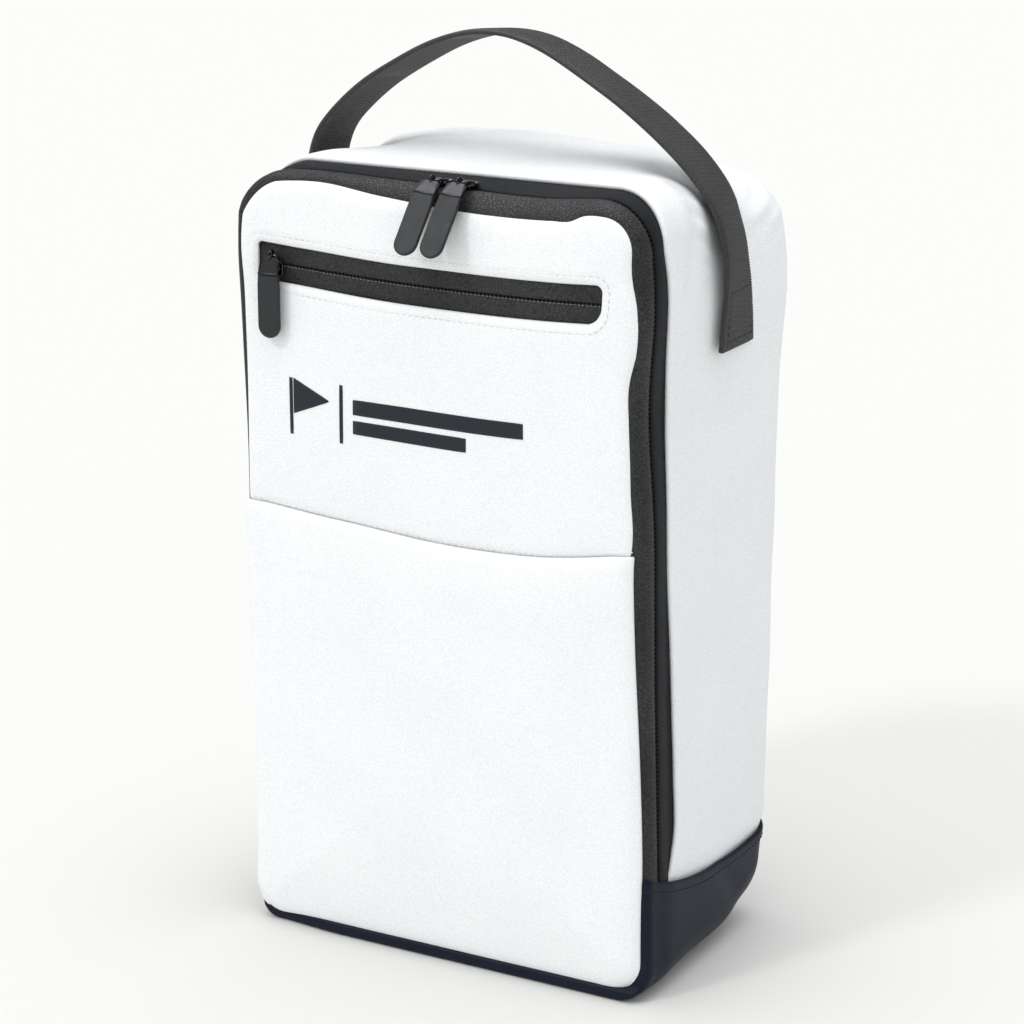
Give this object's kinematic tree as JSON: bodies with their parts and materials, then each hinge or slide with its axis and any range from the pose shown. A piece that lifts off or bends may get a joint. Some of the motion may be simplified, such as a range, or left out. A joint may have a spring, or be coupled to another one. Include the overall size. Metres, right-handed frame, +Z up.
{
  "type": "golf shoe bag",
  "caption": "Upright zipped shoe bag with a fold-down front panel, a front zip pocket, a moulded dark base and a webbing carry handle.",
  "frame": {"origin": "centre of the footprint, on the face the bag stands on", "axes": "+X to the right seen from the front, -Y out of the front panel, +Z up"},
  "size_m": [0.2106, 0.1419, 0.4148],
  "materials": {
    "white_coated_fabric": "pebble-grained white coated fabric, satin",
    "dark_coated_fabric": "smooth charcoal-navy coated fabric, satin",
    "webbing": "ribbed black webbing, matt",
    "zip_tape": "woven dark grey zip tape, matt",
    "zip_coil": "dark nylon coil",
    "lining": "plain dark woven lining",
    "foam": "light closed-cell foam",
    "binding": "black seam binding tape",
    "stiffener": "plain plastic board",
    "slider_metal": "gloss black painted zinc",
    "puller_rubber": "satin charcoal moulding",
    "print": "raised dark print"
  },
  "bodies": {
    "shell": {"gusset_panel": "white_coated_fabric", "back_panel": "white_coated_fabric", "back_seam_binding": "binding", "gusset_lining": "lining", "back_lining": "lining", "base_wrap": "dark_coated_fabric", "base_hem": "dark_coated_fabric", "base_board": "stiffener", "floor_lining": "lining", "front_panel_foot": "white_coated_fabric", "shell_zip_tape": "zip_tape", "shell_zip_coil": "zip_coil", "zip_end_left": "zip_tape", "zip_end_right": "zip_tape", "handle_end_left": "webbing", "handle_end_right": "webbing"},
    "lid": {"front_panel_lower": "white_coated_fabric", "front_panel_upper": "white_coated_fabric", "lid_zip_tape": "zip_tape", "lid_zip_coil": "zip_coil", "lid_foam": "foam", "lid_lining": "lining", "pocket_bag": "lining", "pocket_tape_upper": "zip_tape", "pocket_tape_lower": "zip_tape", "pocket_coil_upper": "zip_coil", "pocket_coil_lower": "zip_coil", "front_emblem": "print"},
    "handle": {"carry_handle": "webbing"},
    "slider_left": {"main_left_slider_body": "slider_metal", "main_left_slider_bail": "slider_metal"},
    "slider_right": {"main_right_slider_body": "slider_metal", "main_right_slider_bail": "slider_metal"},
    "pocket_slider": {"pocket_slider_body": "slider_metal", "pocket_slider_bail": "slider_metal"},
    "puller_left": {"main_left_puller_link": "slider_metal", "main_left_puller_tab": "puller_rubber"},
    "puller_right": {"main_right_puller_link": "slider_metal", "main_right_puller_tab": "puller_rubber"},
    "pocket_puller": {"pocket_puller_link": "slider_metal", "pocket_puller_tab": "puller_rubber"}
  },
  "joints": [
    {"name": "lid_fold", "type": "hinge", "parent": "shell", "child": "lid", "pos_m": [0, -0.0625, 0.059], "axis": [1, 0, 0], "range_deg": [0, 95]},
    {"name": "handle_swing", "type": "hinge", "parent": "shell", "child": "handle", "pos_m": [0, 0.012, 0.336], "axis": [1, 0, 0], "range_deg": [-25, 25]},
    {"name": "slider_left_travel", "type": "slide", "parent": "lid", "child": "slider_left", "axis": [-1, 0, 0], "range_m": [0, 0.059]},
    {"name": "slider_right_travel", "type": "slide", "parent": "lid", "child": "slider_right", "axis": [1, 0, 0], "range_m": [0, 0.058]},
    {"name": "puller_left_swing", "type": "hinge", "parent": "slider_left", "child": "puller_left", "pos_m": [-0.0075, -0.0566, 0.3575], "axis": [-1, 0, 0], "range_deg": [0, 190]},
    {"name": "puller_right_swing", "type": "hinge", "parent": "slider_right", "child": "puller_right", "pos_m": [0.0085, -0.0566, 0.3575], "axis": [-1, 0, 0], "range_deg": [0, 190]},
    {"name": "pocket_slider_travel", "type": "slide", "parent": "lid", "child": "pocket_slider", "axis": [1, 0, 0], "range_m": [0, 0.158]},
    {"name": "pocket_puller_swing", "type": "hinge", "parent": "pocket_slider", "child": "pocket_puller", "pos_m": [-0.086, -0.0645, 0.3186], "axis": [-1, 0, 0], "range_deg": [0, 150]}
  ]
}
